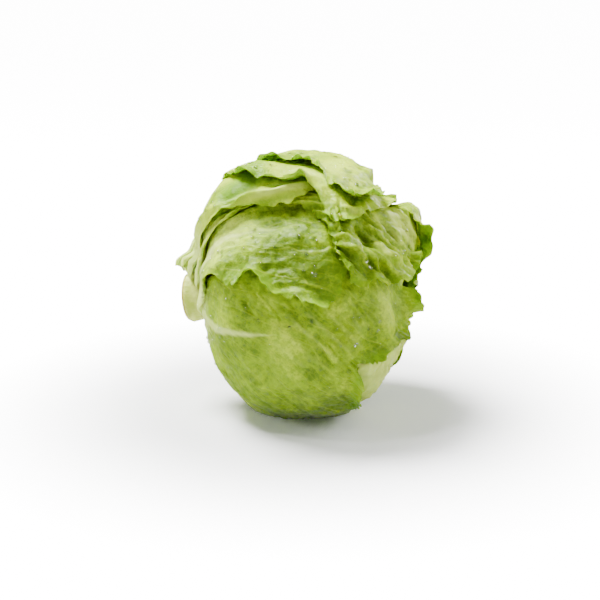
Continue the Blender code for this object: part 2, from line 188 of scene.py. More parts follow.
# Studio: how bright the floor and the wall shine, and where the floor's shine starts and is full.
GLOW = 14.0
GLOW_FROM = 0.09
GLOW_TO = 0.30
FLOOR_HALF = 6.0
WALL_RADIUS = 5.9
WALL_HEIGHT = 5.0
WALL_SIDES = 48
FLOOR_WHITE = 0.90
FLOOR_BELOW_WHITE = 0.75
FLOOR_BELOW_DEPTH = 0.0005
WORLD_STRENGTH = 0.40

# Lamps: where each hangs in metres, how wide it is in metres, and its watts.
LAMPS = {
    "window_back_left": ((-0.50, 0.30, 1.25), 0.6, 82),
    "lamp_above": ((-0.35, -0.25, 1.2), 0.08, 4),
    "key_left": ((-1.1, -0.3, 0.7), 0.4, 5),
    "fill_right": ((1.1, -0.1, 0.7), 0.6, 11),
    "rim_back_right": ((0.7, 0.9, 0.5), 0.4, 9),
}

# Colours of the leaves and the stem. The stem's cut face lies STEM_FACE from the head's centre, and
# its brown ring has the radius STEM_RING, in metres.
WHITE_RIB = (0.62, 0.75, 0.19, 1)
PALE = (0.44, 0.59, 0.018, 1)
MIDDLE = (0.200, 0.325, 0.0, 1)
DEEP = (0.098, 0.180, 0.0, 1)
LIME = (0.165, 0.315, 0.0, 1)
# Darker lime, painted shade: mixed in where the lime strokes run past 0.9, in the lime pocket.
LIME_PAINTED_SHADE = (0.110, 0.235, 0.0, 1)
VEIN = (0.40, 0.54, 0.02, 1)
STEM_PALE = (0.56, 0.62, 0.14, 1)
STEM_FLESH = (0.38, 0.46, 0.05, 1)
STEM_BROWN = (0.30, 0.20, 0.015, 1)
STEM_FACE = 0.0867
STEM_RING = 0.0118

# The leaves from the inside out. Where each is centred, in degrees off the stem's axis (lean) and
# round it (turn); its folds; its slack in metres; how green it is, 0 pale to 1 deep; how far white
# runs out from its foot, in radians; its wrinkles in metres; how freely its margin frills, and calm
# stretches of it, each a bearing and half its width in degrees; how much its veins slope across the
# fan; how fine its grid is; its outline and how much its margin curls, at bearings in degrees; and a
# rolled ridge inside its margin, with its inset, width and ends in degrees.
LEAVES = (
    dict(
        name="leaf_underside", lean=98, turn=168, pleats=5, pleat_height=0.0016,
        green=-0.15, white=4.2, wrinkle=0.0021, frill=0.3,
        outline=((0, 58), (20, 56), (60, 46), (90, 42), (130, 44), (155, 56), (180, 110),
                 (205, 54), (230, 46), (265, 46), (290, 57), (312, 63), (340, 61)),
        curl=((0, 0.3), (60, 0.2), (180, 0), (270, 0), (330, 0.1)),
    ),
    dict(
        name="leaf_back_low", lean=97, turn=-128, pleats=6, pleat_height=0.0018,
        green=0.55, white=0.7, wrinkle=0.0008, frill=0.15,
        outline=((0, 46), (40, 48), (90, 43), (130, 41), (158, 60), (180, 110),
                 (202, 74), (225, 70), (250, 66), (280, 48), (303, 36), (332, 36)),
        curl=((0, 0.3), (60, 0.5), (120, 0.2), (180, 0), (240, 0.1), (300, 0.1)),
    ),
    dict(
        name="leaf_front_low", cells=1.4, lean=105, turn=98, pleats=4, pleat_height=0.0014,
        green=0.62, white=0.4, wrinkle=0.0005, frill=1.0, slope=-0.5,
        outline=((0, 66), (8, 69), (16, 63), (22, 50), (29, 37), (36, 32), (42, 27), (47, 23),
                 (53, 28), (63, 36), (72, 47), (79, 70), (90, 93), (103, 108), (120, 117),
                 (138, 107), (158, 98), (180, 120), (210, 62), (240, 50), (270, 44), (300, 46),
                 (330, 58), (350, 63)),
        curl=((0, 1.1), (12, 1), (24, 0.3), (40, 0.15), (60, 0.4), (75, 0.5), (110, 0),
              (180, 0), (300, 0.2)),
    ),
    dict(
        name="leaf_front_high", lean=80, turn=44, pleats=3, pleat_height=0.0022,
        green=0.66, white=0.5, wrinkle=0.0004, frill=1.0,
        outline=((0, 40), (18, 44), (30, 47), (40, 50), (49, 51), (55, 48), (61, 43), (68, 39),
                 (77, 35), (88, 29), (105, 27), (130, 30), (157, 42), (180, 120), (208, 50),
                 (228, 41), (250, 36), (276, 34), (300, 35), (330, 36)),
        curl=((0, 0.1), (30, 0.4), (50, 0.6), (75, 0.8), (100, 0.9), (130, 0.3), (180, 0),
              (250, 0)),
    ),
    dict(
        name="leaf_end_wrap", lean=112, turn=15, pleats=7, pleat_height=0.0022, slack=0.0009,
        green=0.50, white=0.7, wrinkle=0.0029, frill=1.0,
        outline=((0, 58), (20, 57), (38, 55), (51, 53), (58, 54), (64, 52), (68, 48), (73, 45),
                 (76, 37), (80, 30), (90, 24), (105, 21), (125, 20), (143, 25), (157, 39),
                 (180, 130), (205, 46), (232, 44), (261, 43), (288, 47), (311, 53), (329, 58),
                 (341, 60)),
        curl=((0, 0.9), (40, 0.5), (60, 0.4), (80, 0.4), (100, 0.1), (180, 0), (270, 0.3),
              (330, 0.9)),
        ridge=dict(height=0.0050, inset=12.5, width=4.0, begin=25, end=78),
    ),
    dict(
        name="leaf_back_high", lean=95, turn=-68, pleats=6, pleat_height=0.0020,
        green=0.42, white=0.7, wrinkle=0.0018, frill=0.8,
        calm=((335, 24), (32, 16)),
        outline=((0, 68), (20, 66), (40, 58), (70, 48), (95, 43), (130, 42), (158, 60), (180, 110),
                 (202, 60), (232, 44), (270, 44), (320, 54)),
        curl=((0, 1.5), (50, 0.9), (120, 0.3), (180, 0), (240, 0.3), (300, 0.8)),
    ),
    dict(
        name="leaf_back_mid", lean=82, turn=-102, pleats=4, pleat_height=0.0020,
        green=0.50, white=0.7, wrinkle=0.0008, frill=0.9,
        outline=((0, 47), (45, 42), (90, 33), (130, 34), (157, 50), (180, 110),
                 (203, 50), (230, 35), (270, 34), (315, 41)),
        curl=((0, 0.9), (60, 0.7), (120, 0.3), (180, 0), (240, 0.3), (300, 0.8)),
    ),
    dict(
        name="leaf_crown_low", lean=78, turn=0, pleats=3, pleat_height=0.0010,
        green=0.22, white=0.7, wrinkle=0.0002, frill=0.4,
        outline=((0, 31), (20, 31), (40, 34), (55, 34), (73, 34), (90, 32), (107, 31),
                 (118, 33), (130, 37), (142, 40), (155, 46), (169, 62), (180, 110), (195, 56),
                 (215, 38), (240, 33), (290, 32), (330, 31)),
        curl=((0, 0), (90, 0), (180, 0), (270, 0)),
        ridge=dict(height=0.0045, inset=4.5, width=3.0, begin=45, end=165),
    ),
    dict(
        name="leaf_crown_mid", lean=95, turn=-20, pleats=4, pleat_height=0.0018, slack=0.0011,
        green=0.08, white=0.8, wrinkle=0.0006, frill=1.0,
        calm=((338, 44),),
        outline=((0, 41), (18, 46), (35, 51), (45, 54), (52, 60), (58, 63), (64, 65), (68, 60),
                 (73, 49), (79, 44), (87, 45), (95, 47), (102, 46), (113, 43), (126, 43),
                 (142, 42), (156, 43), (167, 50), (180, 120), (198, 42), (220, 33), (255, 31),
                 (290, 34), (330, 36)),
        curl=((0, 0.5), (45, 0.7), (70, 0.5), (100, 0.1), (180, 0), (300, 0.3)),
    ),
    dict(
        name="leaf_crown_top", lean=100, turn=-30, pleats=4, pleat_height=0.0018, slack=0.0010,
        green=0.16, white=0.5, wrinkle=0.0005, frill=1.0,
        calm=((358, 40), (26, 16)),
        outline=((0, 25), (20, 27), (33, 35), (41, 48), (48, 55), (54, 54), (60, 58), (66, 57),
                 (72, 53), (80, 44), (88, 34), (95, 30), (107, 28), (122, 29), (137, 33),
                 (155, 40), (167, 50), (180, 110), (200, 46), (228, 37), (265, 36), (310, 34),
                 (340, 29)),
        curl=((0, 0.2), (45, 0.4), (75, 0.3), (120, 0), (180, 0), (240, 0.4), (310, 0.3)),
    ),
)

# Marks on the side that faces the camera, each a soft stroke: its middle in pixels of the frame,
# its slant in degrees, half its length and half its width in pixels, and its strength.
# FORMS raise or sink every layer alike, in metres. TINTS change a leaf's colour: mostly its own
# tone, but some strokes are painted shade in grooves, pits, folds and under a margin, and some are
# painted light and a painted highlight.
# The strokes fade out where the head turns away, between two depths from its centre in metres.
FORM_FADE = (-0.055, -0.022)
COLOUR_FADE = (-0.012, 0.004)
FORMS = dict(
    crown_hole_upper=(347, 176, -8, 5, 2.2, -0.0022),
    crown_hole_right=(360, 166, -30, 4, 2.6, -0.002),
    front_dimple=(311, 369, -5, 5, 3.5, -0.0018),
    end_swell=(408, 250, -58, 28, 15, 0.0045),
    right_shoulder=(412, 223, -55, 24, 14, 0.014),
    crown_right_dip=(386, 180, -42, 14, 8, -0.011),
    crown_right_top=(345, 157, -12, 28, 12, -0.0035),
    crown_middle_top=(300, 156, 0, 34, 10, -0.0015),
    lime_pocket=(240, 194, 38, 24, 6, -0.005),
    ribbon_left=(231, 213, 48, 20, 3.5, 0.0026),
    ribbon_middle=(270, 193, 14, 30, 3.5, 0.0026),
    star_fold_1=(352, 204, 60, 7, 2.4, -0.0026),
    star_fold_2=(353, 204, -22, 9, 2.4, -0.0026),
    star_fold_3=(351, 203, -75, 7, 2.4, -0.0026),
    star_ridge_left=(347, 212, 0, 9, 3, 0.0022),
    star_ridge_right=(364, 206, -60, 8, 3, 0.0022),
    hollow=(362, 238, -62, 13, 7, -0.0085),
    hollow_rim_left=(349, 250, -62, 15, 3, 0.0022),
    hollow_rim_low=(366, 261, -20, 22, 3.5, 0.0026),
    junction_groove=(336, 246, -72, 24, 4, -0.0022),
    end_rib_1=(384, 212, -42, 24, 2.4, 0.0024),
    end_rib_2=(392, 224, -42, 26, 2.2, 0.0022),
    end_rib_3=(388, 235, -42, 22, 2.4, 0.002),
    end_rib_4=(404, 240, -45, 20, 2.4, 0.0022),
    end_rib_5=(402, 222, -45, 18, 2.2, 0.0018),
    end_rib_6=(376, 250, -38, 16, 2.2, 0.0016),
    end_furrow_1=(377, 224, -42, 16, 2.0, -0.0014),
    end_furrow_2=(400, 232, -42, 20, 2.0, -0.0012),
    end_dimple_1=(371, 244, -30, 5, 3.0, -0.0022),
    end_dimple_2=(408, 256, -40, 6, 3.0, -0.002),
    front_dent=(270, 228, -20, 14, 5, -0.0012),
    front_ridge=(300, 238, 60, 14, 4, 0.001),
    low_vein_1=(312, 336, -42, 26, 1.8, 0.0007),
    low_vein_2=(326, 330, -42, 26, 1.8, 0.0006),
    white_ridge_1=(380, 372, 48, 24, 2.2, 0.0012),
    white_ridge_2=(390, 360, 50, 20, 2.2, 0.001),
    white_ridge_3=(374, 388, 45, 14, 2.2, 0.001),
)
# Strokes of deeper green: the leaves' own tone, except junction_groove, hollow, crown_hole_upper,
# crown_hole_right, front_dimple, star_fold_1, star_fold_2 and under_margin. Those are painted shade
# in a groove, a hollow, pits and folds, and a painted shadow under a leaf's margin.
GREENER_AND_PAINTED_SHADE = dict(
    upper_leaf_low=(318, 270, 4, 44, 15, 0.6),
    upper_leaf_left=(262, 262, -10, 20, 9, 0.4),
    upper_leaf_patch=(284, 238, 20, 34, 15, 0.5),
    front_dent=(272, 228, -25, 16, 6, 0.28),
    junction_groove=(338, 244, -68, 26, 8, 0.6),
    hollow=(362, 238, -62, 12, 7, 0.4),
    end_leaf_low=(372, 272, -10, 26, 9, 0.35),
    crown_hole_upper=(347, 176, -8, 5, 2.4, 0.9),
    crown_hole_right=(360, 166, -30, 4, 2.8, 0.8),
    front_dimple=(311, 369, -5, 6, 4.0, 0.3),
    star_fold_1=(352, 204, 60, 8, 2.0, 0.4),
    star_fold_2=(353, 204, -22, 10, 2.0, 0.4),
    upper_margin=(275, 276, 0, 12, 8, 0.3),
    shoulder_streak_1=(400, 200, -34, 9, 1.8, 0.8),
    shoulder_streak_2=(421, 216, -42, 11, 1.8, 0.8),
    shoulder_streak_3=(389, 220, -14, 10, 1.8, 0.6),
    low_leaf_bottom=(300, 400, 2, 50, 13, 0.45),
    low_leaf_left=(264, 330, 80, 40, 16, 0.25),
    under_margin=(330, 294, 5, 44, 5, 0.3),
    upper_leaf_spot=(286, 224, 30, 10, 4, 0.2),
)
# Strokes that lighten the colour: the leaves' own pale tone, ribs, veins and white leaf, except
# upper_leaf_left, which is a painted highlight; ribbon_left and ribbon_middle, which are painted
# light on the rolled ribbon and where it turns down into shade; and right_shoulder and edge_frill,
# which are painted light on a frill that lies in shade.
PALER_AND_PAINTED_LIGHT = dict(
    right_shoulder=(430, 243, -50, 26, 12, 0.6),
    right_margin=(412, 288, -60, 18, 8, 0.5),
    upper_leaf_left=(224, 242, 44, 34, 15, 0.45),
    ribbon_left=(231, 213, 48, 22, 4, 0.5),
    ribbon_middle=(275, 196, 10, 34, 7, 0.75),
    crown_mid_leaf=(292, 180, 0, 34, 9, 0.35),
    crown_top_leaf=(330, 172, -20, 30, 12, 0.3),
    end_rib_1=(384, 212, -42, 24, 2.2, 0.8),
    end_rib_2=(392, 224, -42, 26, 2.2, 0.8),
    end_rib_3=(388, 235, -42, 22, 2.2, 0.7),
    end_rib_4=(404, 240, -45, 20, 2.4, 0.8),
    end_rib_5=(402, 222, -45, 18, 2.0, 0.6),
    end_rib_6=(376, 250, -38, 16, 2.0, 0.5),
    low_leaf_right=(392, 300, -60, 22, 16, 0.25),
    edge_frill=(426, 236, 80, 12, 5, 0.55),
    white_foot=(378, 368, -50, 14, 9, 0.5),
    white_leaf=(400, 364, 50, 30, 9, 1.2),
    white_leaf_top=(393, 351, 35, 14, 5, 0.9),
    white_leaf_low=(374, 382, 52, 24, 9, 0.6),
    low_vein_1=(312, 336, -42, 30, 1.6, 0.3),
    low_vein_2=(326, 330, -42, 30, 1.6, 0.26),
    low_vein_3=(300, 344, -42, 28, 1.6, 0.22),
    low_vein_4=(340, 326, -46, 26, 1.5, 0.22),
    low_vein_5=(290, 352, -38, 26, 1.4, 0.18),
    low_leaf_band=(318, 392, 10, 34, 5, 0.12),
)
# Lime strokes: the leaves' own lime. lime_pocket runs past 0.9, so the lime there is also darkened
# as painted shade in the pocket.
LIMER_AND_PAINTED_SHADE = dict(
    edge_frill=(426, 238, 80, 16, 7, 1.0),
    end_margin=(400, 270, -30, 20, 6, 0.45),
    lime_pocket=(243, 190, 35, 28, 10, 1.7),
    groove=(258, 209, 14, 44, 4, 0.7),
    crown_right_frill=(380, 196, -10, 10, 4, 0.8),
    crown_left_frill=(264, 163, 22, 24, 6, 0.85),
    star_fold=(352, 205, 0, 9, 6, 0.65),
    crown_top_frill=(320, 158, 0, 10, 3, 0.55),
    low_margin=(352, 392, 85, 24, 6, 0.8),
    white_leaf_margin=(372, 354, 15, 14, 5, 0.7),
    low_corner=(352, 404, 70, 12, 7, 0.6),
    right_margin=(412, 296, -75, 16, 6, 0.5),
    upper_margin=(272, 276, 60, 16, 6, 0.45),
    crown_low_frill=(345, 222, 0, 22, 5, 0.35),
    bottom_edge=(286, 410, 0, 36, 5, 0.3),
)
TINTS = dict(greener_and_painted_shade=GREENER_AND_PAINTED_SHADE, paler_and_painted_light=PALER_AND_PAINTED_LIGHT, limer_and_painted_shade=LIMER_AND_PAINTED_SHADE)


def unit(vector):
    vector = np.asarray(vector, float)
    return vector / np.linalg.norm(vector)


STEM = unit(STEM_DIRECTION)
UP = unit(np.array((0.0, 0.0, 1.0)) - STEM[2] * STEM)
FRONT = np.cross(STEM, UP) * (-1 if np.cross(STEM, UP)[1] > 0 else 1)
DOWN = np.array((0.0, 0.0, -1.0))

ELEVATION = math.radians(CAMERA_ELEVATION_DEG)
CAMERA_WAY = np.array((0.0, -math.cos(ELEVATION), math.sin(ELEVATION)))
CAMERA_UP = np.array((0.0, math.sin(ELEVATION), math.cos(ELEVATION)))


def smoothstep(low, high, value):
    share = np.clip((value - low) / (high - low), 0, 1)
    return share * share * (3 - 2 * share)


def waves(points, size, seed, count=14):
    """A smooth random field, about -1 to 1, whose lumps are about size across."""
    random = np.random.default_rng(seed)
    points = np.asarray(points, float)
    ways = random.normal(size=(count, points.shape[-1]))
    ways /= np.linalg.norm(ways, axis=1, keepdims=True)
    pace = math.pi / size * random.uniform(0.7, 1.4, count)
    phase = random.uniform(0, 2 * math.pi, count)
    return np.sin(points @ (ways * pace[:, None]).T + phase).sum(-1) / math.sqrt(count)


def through_knots(knots, bearing):
    """A smooth closed curve through (degrees, value) knots, read at bearings in radians."""
    at = np.array([k[0] for k in knots], float)
    value = np.array([k[1] for k in knots], float)
    at = np.concatenate([at[-2:] - 360, at, at[:2] + 360])
    value = np.concatenate([value[-2:], value, value[:2]])
    slope = np.zeros_like(value)
    slope[1:-1] = (value[2:] - value[:-2]) / (at[2:] - at[:-2])
    angle = np.degrees(bearing) % 360
    i = np.clip(np.searchsorted(at, angle) - 1, 0, len(at) - 2)
    step = at[i + 1] - at[i]
    t = (angle - at[i]) / step
    return (
        (2 * t**3 - 3 * t**2 + 1) * value[i]
        + (t**3 - 2 * t**2 + t) * step * slope[i]
        + (3 * t**2 - 2 * t**3) * value[i + 1]
        + (t**3 - t**2) * step * slope[i + 1]
    )


def leaf_axes(leaf):
    """The leaf's centre, and the ways to its tip and to growing turn, as unit vectors."""
    lean, turn = math.radians(leaf["lean"]), math.radians(leaf["turn"])
    out = math.cos(turn) * UP + math.sin(turn) * FRONT
    centre = math.cos(lean) * STEM + math.sin(lean) * out
    tipward = math.cos(lean) * out - math.sin(lean) * STEM
    sideways = math.cos(turn) * FRONT - math.sin(turn) * UP
    return centre, tipward, sideways


def reach_and_bearing(leaf, directions):
    centre, tipward, sideways = leaf_axes(leaf)
    x, y = directions @ tipward, directions @ sideways
    return np.arctan2(np.hypot(x, y), directions @ centre), np.arctan2(y, x)


def direction_at(leaf, reach, bearing):
    centre, tipward, sideways = leaf_axes(leaf)
    aside = np.cos(bearing)[..., None] * tipward + np.sin(bearing)[..., None] * sideways
    return np.cos(reach)[..., None] * centre + np.sin(reach)[..., None] * aside


def outline(leaf, bearing):
    """The leaf's reach in radians at each bearing, ended where the leaf's foot meets the stem."""
    reach = np.radians(through_knots(leaf["outline"], bearing))
    lean = math.radians(leaf["lean"])
    across, along = math.cos(lean), -np.cos(bearing) * math.sin(lean)
    level = math.cos(math.radians(LEAF_FOOT_ANGLE_DEG))
    to_stem = np.arctan2(along, across)
    to_stem = to_stem - np.arccos(np.clip(level / np.hypot(across, along), -1, 1))
    stemward = -np.cos(bearing) > STEMWARD_COSINE
    return np.where(stemward, np.minimum(reach, to_stem), reach)


def from_foot(leaf, reach, bearing):
    """Flat leaf coordinates in radians: along the midrib from the foot, and across it."""
    foot = math.radians(leaf["lean"] - LEAF_FOOT_ANGLE_DEG)
    return foot + reach * np.cos(bearing), reach * np.sin(bearing)


def rib_share(leaf, reach, bearing):
    """How thick the midrib is: 1 at its foot, 0 beside it and towards the tip."""
    along, across = from_foot(leaf, reach, bearing)
    return np.exp(-((across / RIB_HALF_WIDTH) ** 2)) * np.clip(1 - along / RIB_LENGTH, 0, 1) ** 1.5


def thickness(leaf, reach, bearing):
    return BLADE + RIB * rib_share(leaf, reach, bearing)


def inset(leaf, reach, bearing):
    """How far inside the outline, in radians; less than zero outside it."""
    slope = outline(leaf, bearing + SLOPE_STEP) - outline(leaf, bearing - SLOPE_STEP)
    slope = slope / (2 * SLOPE_STEP)
    inside = outline(leaf, bearing) - reach
    aslant = inside / np.hypot(1, slope / np.clip(np.sin(reach), 0.3, 1))
    return np.minimum(aslant, inside + FAR_OUTSIDE)


def folds(leaf, reach, bearing):
    """How far the blade stands off what it lies on: broad folds that fan out from its foot, a
    little slack at the foot, and for some leaves a rolled ridge that follows the margin."""
    along, across = from_foot(leaf, reach, bearing)
    fan = np.arctan2(across, along + FAN_BEFORE_FOOT)
    fold = 0.5 + 0.5 * np.cos(2 * leaf["pleats"] * fan + leaf["lean"])
    height = leaf["pleat_height"] * fold * smoothstep(FOLD_START, FOLD_FULL, along)
    height = height + FOOT_SLACK * np.exp(-((along / FOOT_SLACK_LENGTH) ** 2))
    height = height + leaf.get("slack", 0)
    if "ridge" in leaf:
        ridge = leaf["ridge"]
        off = np.degrees(outline(leaf, bearing) - reach) - ridge["inset"]
        angle = np.degrees(bearing) % 360
        begin, end = ridge["begin"], ridge["end"]
        ends = smoothstep(begin - RIDGE_FADE_OUTSIDE, begin + RIDGE_FADE_INSIDE, angle)
        ends = ends * (1 - smoothstep(end - RIDGE_FADE_INSIDE, end + RIDGE_FADE_OUTSIDE, angle))
        height = height + ridge["height"] * np.exp(-((off / ridge["width"]) ** 2)) * ends
    return height


def swell(directions, middle, width):
    """1 at the middle direction, falling to 0 over about twice the width in degrees."""
    off = np.degrees(np.arccos(np.clip(directions @ unit(middle), -1, 1)))
    return np.exp(-((off / width) ** 2))


def heart_radius(directions):
    along = np.abs(directions @ STEM) / HEART_ALONG
    across = np.hypot(directions @ UP / HEART_UP, directions @ FRONT / HEART_FRONT)
    radius = (along**HEART_SQUARENESS + across**HEART_SQUARENESS) ** (-1 / HEART_SQUARENESS)
    radius = radius + HEART_SAG * (directions @ DOWN)
    radius = radius + SHOULDER_HEIGHT * swell(directions, SHOULDER, SHOULDER_WIDTH_DEG)
    radius = radius - HOLLOW_DEPTH * swell(directions, HOLLOW, HOLLOW_WIDTH_DEG)
    return radius * (1 + HEART_LUMPS * waves(directions, HEART_LUMP_SIZE, 3))


def cover(leaf, directions, fade):
    """1 inside the leaf's outline, falling to 0 outside it, between two insets in degrees."""
    return smoothstep(math.radians(fade[0]), math.radians(fade[1]),
                      inset(leaf, *reach_and_bearing(leaf, directions)))


def stack(directions, count):
    """How far out the heart reaches with the first count leaves laid on it."""
    radius = heart_radius(directions) + HEART_STEP
    for leaf in LEAVES[:count]:
        reach, bearing = reach_and_bearing(leaf, directions)
        layer = LAYER_GAP + thickness(leaf, reach, bearing) + folds(leaf, reach, bearing)
        radius = radius + layer * cover(leaf, directions, LAYER_FADE_DEG)
    return radius


def flattening(directions):
    """Shrinks every layer alike where the head lies on its flat spot."""
    below = np.clip(directions @ DOWN, 1e-6, 1)
    return np.minimum(1, HEAD_CENTRE[2] / below / stack(directions, len(LEAVES)))


def disc_grid(cells):
    """A square grid drawn onto a disc: radius from 0 to 1 and angle of each point."""
    line = np.linspace(-1, 1, cells + 1)
    x, y = np.meshgrid(line, line, indexing="ij")
    wide = np.abs(x) > np.abs(y)
    with np.errstate(divide="ignore", invalid="ignore"):
        turned = np.where(wide, y / x, x / y) * math.pi / 4
    turned = np.nan_to_num(turned)
    radius = np.where(wide, x, y)
    angle = np.where(wide, turned, math.pi / 2 - turned)
    angle = np.where(radius < 0, angle + math.pi, angle) % (2 * math.pi)
    return 1 - (1 - np.abs(radius)) ** MARGIN_CROWDING, angle


def even_bearing(leaf, angle):
    """Spreads the spokes of the grid so that they meet the margin at nearly even steps."""
    bearing = np.linspace(0, 2 * math.pi, 721)
    edge = outline(leaf, bearing)
    step = np.hypot(np.gradient(edge, bearing), np.sin(edge))
    length = np.concatenate([[0], np.cumsum((step[1:] + step[:-1]) / 2)])
    share = EVEN_STEPS * length / length[-1] + (1 - EVEN_STEPS) * bearing / (2 * math.pi)
    return np.interp(angle / (2 * math.pi), share, bearing)


def freedom(rank, directions, fade):
    """1 where no leaf above lies on this one, 0 under another leaf."""
    share = np.ones(directions.shape[:-1])
    for above in LEAVES[rank + 1:]:
        share = share * (1 - cover(above, directions, fade))
    return share


def off_floor(rank, directions):
    height = HEAD_CENTRE[2] + (directions @ -DOWN) * stack(directions, rank + 1)
    return smoothstep(FRILL_FLOOR_LOW, FRILL_FLOOR_HIGH, height)


def liveliness(leaf, bearing):
    """1 where the leaf's margin frills freely, near 0 on its calm stretches."""
    share = np.ones_like(bearing)
    for middle, half in leaf.get("calm", ()):
        off = (np.degrees(bearing) - middle + 180) % 360 - 180
        share = share * (1 - 0.9 * np.exp(-((off / half) ** 4)))
    return share


def strokes(marks, points, fade):
    """The sum of soft strokes at points given from the head's centre."""
    x = CENTRE_PIXEL[0] + points[..., 0] / PIXEL
    y = CENTRE_PIXEL[1] - (points @ CAMERA_UP) / PIXEL
    facing = smoothstep(*fade, points @ CAMERA_WAY)
    total = np.zeros(points.shape[:-1])
    for middle_x, middle_y, slant, length, width, strength in marks.values():
        slant = math.radians(slant)
        along = (x - middle_x) * math.cos(slant) - (y - middle_y) * math.sin(slant)
        across = (x - middle_x) * math.sin(slant) + (y - middle_y) * math.cos(slant)
        total = total + strength * np.exp(-((along / length) ** 4) - (across / width) ** 2)
    return total * facing


def form_marks(directions):
    surface = directions * stack(directions, len(LEAVES))[..., None]
    return strokes(FORMS, surface, FORM_FADE)


def material_values(points, fan, along, across, rank, **others):
    """The values at each point that a leaf's material reads."""
    values = {key: strokes(marks, points, COLOUR_FADE) for key, marks in TINTS.items()}
    pattern = np.stack([fan, along, np.full_like(fan, rank)], -1)
    return {"fan": pattern, "along": along, "across": across, **values, **others}


def grid_normals(points, directions):
    normal = np.cross(np.gradient(points, axis=0), np.gradient(points, axis=1))
    normal /= np.linalg.norm(normal, axis=-1, keepdims=True)
    return normal if (normal * directions).sum() > 0 else -normal


def margin_form(leaf, rank, edge, bearing, inward):
    """How the margin curls, frills and is toothed: how far each point shifts along the blade and
    out of it, how far round it has curled, and how freely it frills. Each field of waves has its
    own seed for each leaf."""
    at_edge = direction_at(leaf, edge, bearing)
    loose = freedom(rank, at_edge, CURL_FADE_DEG) * off_floor(rank, at_edge)
    frill, lively = leaf["frill"], liveliness(leaf, bearing)
    curl = np.clip(through_knots(leaf["curl"], bearing), 0, None) * loose * min(1, frill) * lively
    turned = np.abs((np.degrees(bearing) + 180) % 360 - 180)
    frilly = frill * (1 - smoothstep(*FRILL_ENDS_DEG, turned)) * lively
    margin = np.stack([np.cos(bearing), np.sin(bearing)], -1) * edge[..., None] * MEAN_RADIUS

    turn = CURL_TURN * curl * (CURL_EVEN + CURL_RUFFLE * waves(margin, FRILL_LENGTH, 11 + rank))
    turn = turn + RUFFLE_TURN * loose * frilly * waves(margin, RUFFLE_LENGTH, 51 + rank)
    bend = np.clip(turn, LEAST_TURN, MOST_TURN) / CURL_BAND
    into_band = np.clip(CURL_BAND - inward, 0, None)
    shift = np.sin(bend * into_band) / bend - into_band
    rise = (1 - np.cos(bend * into_band)) / bend
    fine = waves(margin, FRILL_LENGTH * FINE_FRILL, 31 + rank)
    rise = rise + FRILL_HEIGHT * curl * (0.5 + 0.5 * fine) * (into_band / CURL_BAND) ** 2

    notch = np.abs(waves(margin, NOTCH_LENGTH, 71 + rank)) - 0.5
    uneven = UNEVEN_MIDDLE + UNEVEN_SWING * waves(margin, UNEVEN_LENGTH, 81 + rank)
    tooth = NOTCH * notch + TOOTH * waves(margin, TOOTH_LENGTH, 91 + rank)
    tooth = tooth * np.clip(uneven, *UNEVEN_LIMITS)
    shift = shift + tooth * frilly * np.exp(-inward / TOOTH_DEPTH)

    ruffles = 0.5 + 0.5 * waves(margin, RUFFLE_LENGTH, 131 + rank)
    lift = RUFFLE_HEIGHT * ruffles * np.clip(1 - inward / RUFFLE_BAND, 0, 1) ** 2
    crimps = waves(margin, CRIMP_LENGTH, 151 + rank)
    lift = lift + CRIMP_HEIGHT * crimps * np.clip(1 - inward / CRIMP_BAND, 0, 1) ** 1.5
    rise = rise + np.clip(lift, LIFT_LEAST, None) * loose * frilly
    return shift, rise, bend * into_band, frilly


def skin_relief(leaf, rank, directions, along, fan, height):
    """Puckers, blisters and creases, calmer under other leaves and level on the floor."""
    place = directions * MEAN_RADIUS
    pucker = PUCKER_HEIGHT * waves(place, PUCKER_SIZE, 171 + rank)
    blister = BLISTER_HEIGHT * (0.6 - np.abs(waves(place, BLISTER_SIZE, 191 + rank)))
    spread = np.stack([fan * (along + FAN_BEFORE_FOOT) * CREASE_STRETCH, along], -1)
    crease = 0.7 - 1.4 * np.abs(waves(spread, CREASE_SIZE, 211 + rank))
    wrinkle = leaf["wrinkle"] * crease * smoothstep(*WRINKLE_FADE, along)
    bare = freedom(rank, directions, BARE_FADE_DEG)
    relief = (pucker + blister + wrinkle) * (COVERED_RELIEF + (1 - COVERED_RELIEF) * bare)
    return relief * smoothstep(*RESTING_FADE, height)


def fine_thickness(leaf, reach, bearing, inward):
    """A blade that thins towards its edge, with a midrib, its crest and a fleshy foot."""
    along, across = from_foot(leaf, reach, bearing)
    thick = FINE_BLADE * (EDGE_THINNESS + (1 - EDGE_THINNESS) * smoothstep(0, EDGE_BAND, inward))
    thick = thick + MIDRIB_HEIGHT * rib_share(leaf, reach, bearing)
    crest = np.exp(-((across / RIB_CREST_WIDTH) ** 2)) * np.clip(1 - along / RIB_CREST_LENGTH, 0, 1)
    flesh = (1 - smoothstep(*FLESH_FADE, along)) * smoothstep(0, FLESH_BAND, inward)
    return thick + RIB_CREST * crest + FOOT_FLESH * flesh


